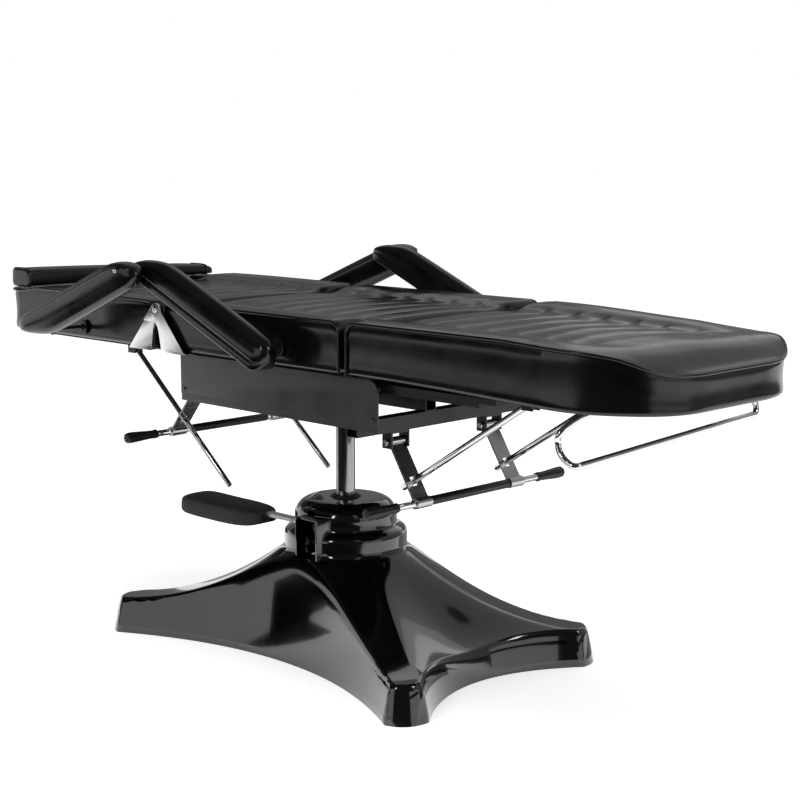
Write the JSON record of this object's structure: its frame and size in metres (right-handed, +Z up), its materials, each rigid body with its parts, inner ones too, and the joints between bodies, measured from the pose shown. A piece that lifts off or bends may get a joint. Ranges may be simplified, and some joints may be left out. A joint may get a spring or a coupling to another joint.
{
  "type": "hydraulic treatment table",
  "caption": "Padded treatment table on a hydraulic column, with a reclining backrest, a folding leg rest, linked armrests, friction locks and a foot pedal.",
  "frame": {"origin": "on the column's axis at the floor", "axes": "+X towards the foot end, +Y towards the left of a seated person, +Z up"},
  "size_m": [1.867, 0.8732, 0.8702],
  "materials": {
    "leather": "glossy soft grain",
    "moulding": "polished",
    "paint": "satin",
    "grey_paint": "satin",
    "chrome": "polished",
    "zinc_steel": "satin",
    "plywood": "raw",
    "rubber": "matte"
  },
  "bodies": {
    "base": {"base_cover": "moulding", "base_plate": "paint", "pump_cylinder": "zinc_steel", "pump_gland": "rubber", "pedal_pin": "zinc_steel"},
    "pedal": {"pedal_arm": "zinc_steel", "pedal_pad": "rubber"},
    "piston": {"lift_piston": "chrome"},
    "frame": {"swivel_head": "paint", "cross_tube_front": "paint", "cross_tube_middle": "paint", "cross_tube_rear": "paint", "seat_board": "plywood", "seat_cushion": "leather", "chassis_rail_left": "paint", "chassis_rail_right": "paint", "side_skirt_left": "grey_paint", "side_skirt_right": "grey_paint", "back_clevis_left": "paint", "back_clevis_right": "paint", "leg_clevis_left": "paint", "leg_clevis_right": "paint", "hinge_leaf_seat_left": "chrome", "hinge_leaf_seat_right": "chrome", "arm_stud_front_left": "paint", "arm_stud_front_right": "paint"},
    "backrest": {"back_board": "plywood", "back_cushion": "leather", "head_pillow": "leather", "back_cross_bar": "paint", "hinge_leaf_back_left": "chrome", "hinge_leaf_back_right": "chrome", "arm_stud_rear_left": "paint", "arm_stud_rear_right": "paint"},
    "leg_rest": {"leg_board": "plywood", "leg_cushion": "leather", "leg_cross_bar": "paint", "foot_bar": "chrome", "leg_rail_left": "paint", "leg_rail_right": "paint"},
    "back_lever": {"back_lever_bar": "chrome", "back_lock_plate_left": "zinc_steel", "back_lock_plate_right": "zinc_steel", "back_lever_grip_left": "rubber", "back_lever_grip_right": "rubber"},
    "leg_lever": {"leg_lever_bar": "chrome", "leg_lock_plate_left": "zinc_steel", "leg_lock_plate_right": "zinc_steel", "leg_lever_grip_left": "rubber", "leg_lever_grip_right": "rubber"},
    "back_rods": {"back_rod_left": "chrome", "back_rod_right": "chrome"},
    "leg_rods": {"leg_rod_left": "chrome", "leg_rod_right": "chrome"},
    "arm_front_left": {"arm_front_pad_left": "leather"},
    "arm_rear_left": {"arm_rear_pad_left": "leather", "arm_rear_bar_left": "paint"},
    "arm_front_right": {"arm_front_pad_right": "leather"},
    "arm_rear_right": {"arm_rear_pad_right": "leather", "arm_rear_bar_right": "paint"}
  },
  "joints": [
    {"name": "lift", "type": "slide", "parent": "base", "child": "piston", "axis": [0, 0, 1], "range_m": [-0.1, 0.03]},
    {"name": "swivel", "type": "hinge", "parent": "piston", "child": "frame", "pos_m": [0, 0, 0.54], "axis": [0, 0, 1], "continuous": true},
    {"name": "recline", "type": "hinge", "parent": "frame", "child": "backrest", "pos_m": [-0.267, 0, 0.7495], "axis": [0, 1, 0], "range_deg": [0, 70]},
    {"name": "leg_fold", "type": "hinge", "parent": "frame", "child": "leg_rest", "pos_m": [0.37, 0, 0.6412], "axis": [0, 1, 0], "range_deg": [0, 55]},
    {"name": "pedal_press", "type": "hinge", "parent": "base", "child": "pedal", "pos_m": [0, -0.056, 0.274], "axis": [0, -1, 0], "range_deg": [0, 12], "stiffness_Nm_per_rad": 120, "springref_deg": -5.73},
    {"name": "back_lever_swing", "type": "hinge", "parent": "frame", "child": "back_lever", "pos_m": [-0.295, 0, 0.578], "axis": [0, 1, 0], "range_deg": [-1, 44]},
    {"name": "back_rod_swing", "type": "hinge", "parent": "backrest", "child": "back_rods", "pos_m": [-0.555, 0, 0.63], "axis": [0, 1, 0], "range_deg": [-29, 1]},
    {"name": "leg_lever_swing", "type": "hinge", "parent": "frame", "child": "leg_lever", "pos_m": [0.295, 0, 0.515], "axis": [0, 1, 0], "range_deg": [-1, 37]},
    {"name": "leg_rod_swing", "type": "hinge", "parent": "leg_rest", "child": "leg_rods", "pos_m": [0.645, 0, 0.63], "axis": [0, 1, 0], "range_deg": [-21, 1]},
    {"name": "arm_front_left_swing", "type": "hinge", "parent": "frame", "child": "arm_front_left", "pos_m": [0.125, 0.328, 0.702], "axis": [0, 1, 0], "range_deg": [-1, 37]},
    {"name": "arm_rear_left_swing", "type": "hinge", "parent": "arm_front_left", "child": "arm_rear_left", "pos_m": [-0.195, 0.3826, 0.838], "axis": [0, 1, 0], "range_deg": [-15, 1]},
    {"name": "arm_front_right_swing", "type": "hinge", "parent": "frame", "child": "arm_front_right", "pos_m": [0.125, -0.328, 0.702], "axis": [0, 1, 0], "range_deg": [-1, 37]},
    {"name": "arm_rear_right_swing", "type": "hinge", "parent": "arm_front_right", "child": "arm_rear_right", "pos_m": [-0.195, -0.3826, 0.838], "axis": [0, 1, 0], "range_deg": [-15, 1]}
  ],
  "couplings": [
    {"joint": "back_lever_swing", "follows": "recline", "ratio": 0.607},
    {"joint": "back_rod_swing", "follows": "recline", "ratio": -0.393},
    {"joint": "leg_lever_swing", "follows": "leg_fold", "ratio": 0.65},
    {"joint": "leg_rod_swing", "follows": "leg_fold", "ratio": -0.35},
    {"joint": "arm_front_left_swing", "follows": "recline", "ratio": 0.512},
    {"joint": "arm_rear_left_swing", "follows": "recline", "ratio": -0.182},
    {"joint": "arm_front_right_swing", "follows": "recline", "ratio": 0.512},
    {"joint": "arm_rear_right_swing", "follows": "recline", "ratio": -0.182}
  ]
}
